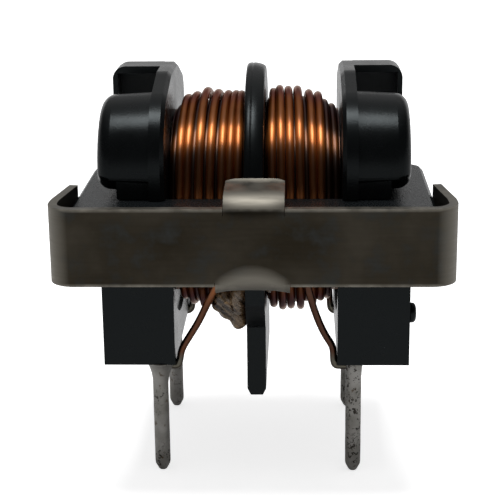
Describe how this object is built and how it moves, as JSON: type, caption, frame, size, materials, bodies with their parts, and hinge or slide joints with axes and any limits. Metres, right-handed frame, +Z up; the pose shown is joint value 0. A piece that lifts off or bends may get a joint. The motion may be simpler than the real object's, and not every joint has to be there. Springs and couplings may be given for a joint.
{
  "type": "common mode choke",
  "caption": "Through-hole common mode choke: two copper windings side by side on a black bobbin, a flat ferrite ring held by a folded steel clip, and pins for a circuit board.",
  "frame": {"origin": "centre of the pin grid, on the plane of the circuit board's top face", "axes": "+X along the winding axis, -Y towards the clip, +Z up, away from the board"},
  "size_m": [0.0154, 0.0131, 0.0165],
  "materials": {
    "moulding": "black moulded plastic, glossy on the cheeks and satin on the leg blocks",
    "ferrite": "dark grey sintered ferrite, satin",
    "spring_steel": "plain strip steel, satin with smudges",
    "enamelled_wire": "enamelled copper wire, clear orange-brown enamel",
    "tinned_pin": "tinned wire, dull, with dark specks",
    "solder": "solder, satin",
    "resin": "cloudy grey-brown resin"
  },
  "bodies": {
    "root": {"bobbin": "moulding", "core_left": "ferrite", "core_right": "ferrite", "clip": "spring_steel", "winding_left": "enamelled_wire", "winding_right": "enamelled_wire", "pin_front_left": "tinned_pin", "pin_front_right": "tinned_pin", "pin_rear_left": "tinned_pin", "pin_rear_right": "tinned_pin", "solder_front_left": "solder", "solder_front_right": "solder", "solder_rear_left": "solder", "solder_rear_right": "solder", "resin_left": "resin", "resin_right": "resin"}
  },
  "joints": []
}
